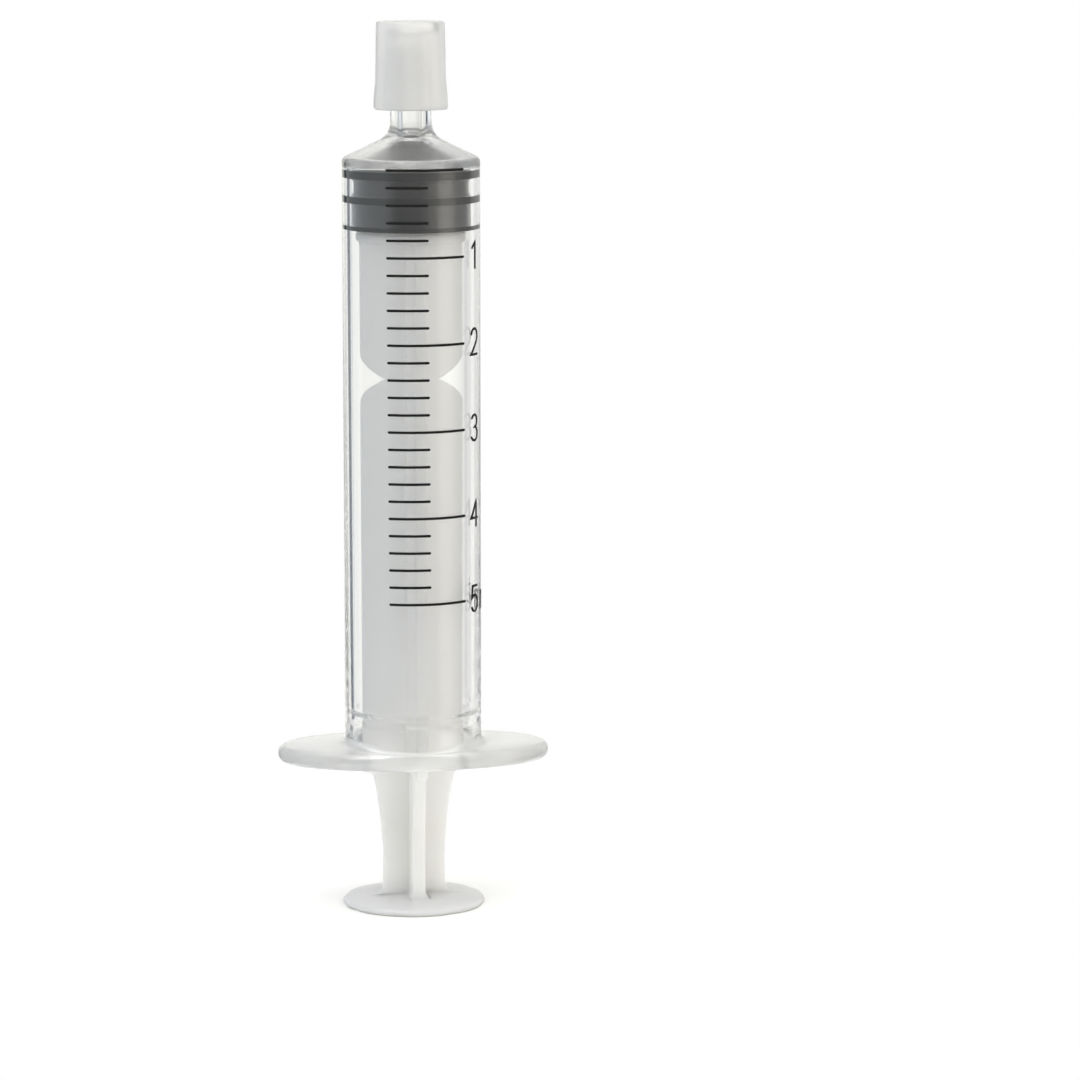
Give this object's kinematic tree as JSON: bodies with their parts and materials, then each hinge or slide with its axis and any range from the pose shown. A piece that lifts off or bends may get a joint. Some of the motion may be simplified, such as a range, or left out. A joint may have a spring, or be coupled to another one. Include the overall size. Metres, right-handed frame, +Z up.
{
  "type": "oral syringe",
  "caption": "Clear oral dosing syringe with finger flange, sliding plunger with grey stopper, and push-on tip cap.",
  "frame": {"origin": "centre of the thumb rest's flat underside, on which the syringe stands", "axes": "+Z up the syringe's axis towards the nozzle, +X along one finger wing of the flange, -Y the face with the printed scale"},
  "size_m": [0.0276, 0.0148, 0.09],
  "materials": {
    "clear_barrel": "clear glossy polypropylene",
    "grey_stopper": "satin dark grey rubber",
    "milky_rod": "milky translucent polypropylene",
    "frosted_cap": "frosted translucent polypropylene",
    "black_ink": "matt black printing ink"
  },
  "bodies": {
    "barrel": {"barrel": "clear_barrel"},
    "stopper": {"stopper": "grey_stopper"},
    "plunger_rod": {"plunger_rod": "milky_rod"},
    "tip_cap": {"tip_cap": "frosted_cap"}
  },
  "joints": [
    {"name": "plunger_slide", "type": "slide", "parent": "barrel", "child": "stopper", "axis": [0, 0, -1], "range_m": [0, 0.0485]},
    {"name": "plunger_twist", "type": "hinge", "parent": "stopper", "child": "plunger_rod", "pos_m": [0, 0, 0.0722], "axis": [0, 0, 1], "continuous": true},
    {"name": "cap_pull", "type": "slide", "parent": "barrel", "child": "tip_cap", "axis": [0, 0, 1], "range_m": [0, 0.012]}
  ]
}
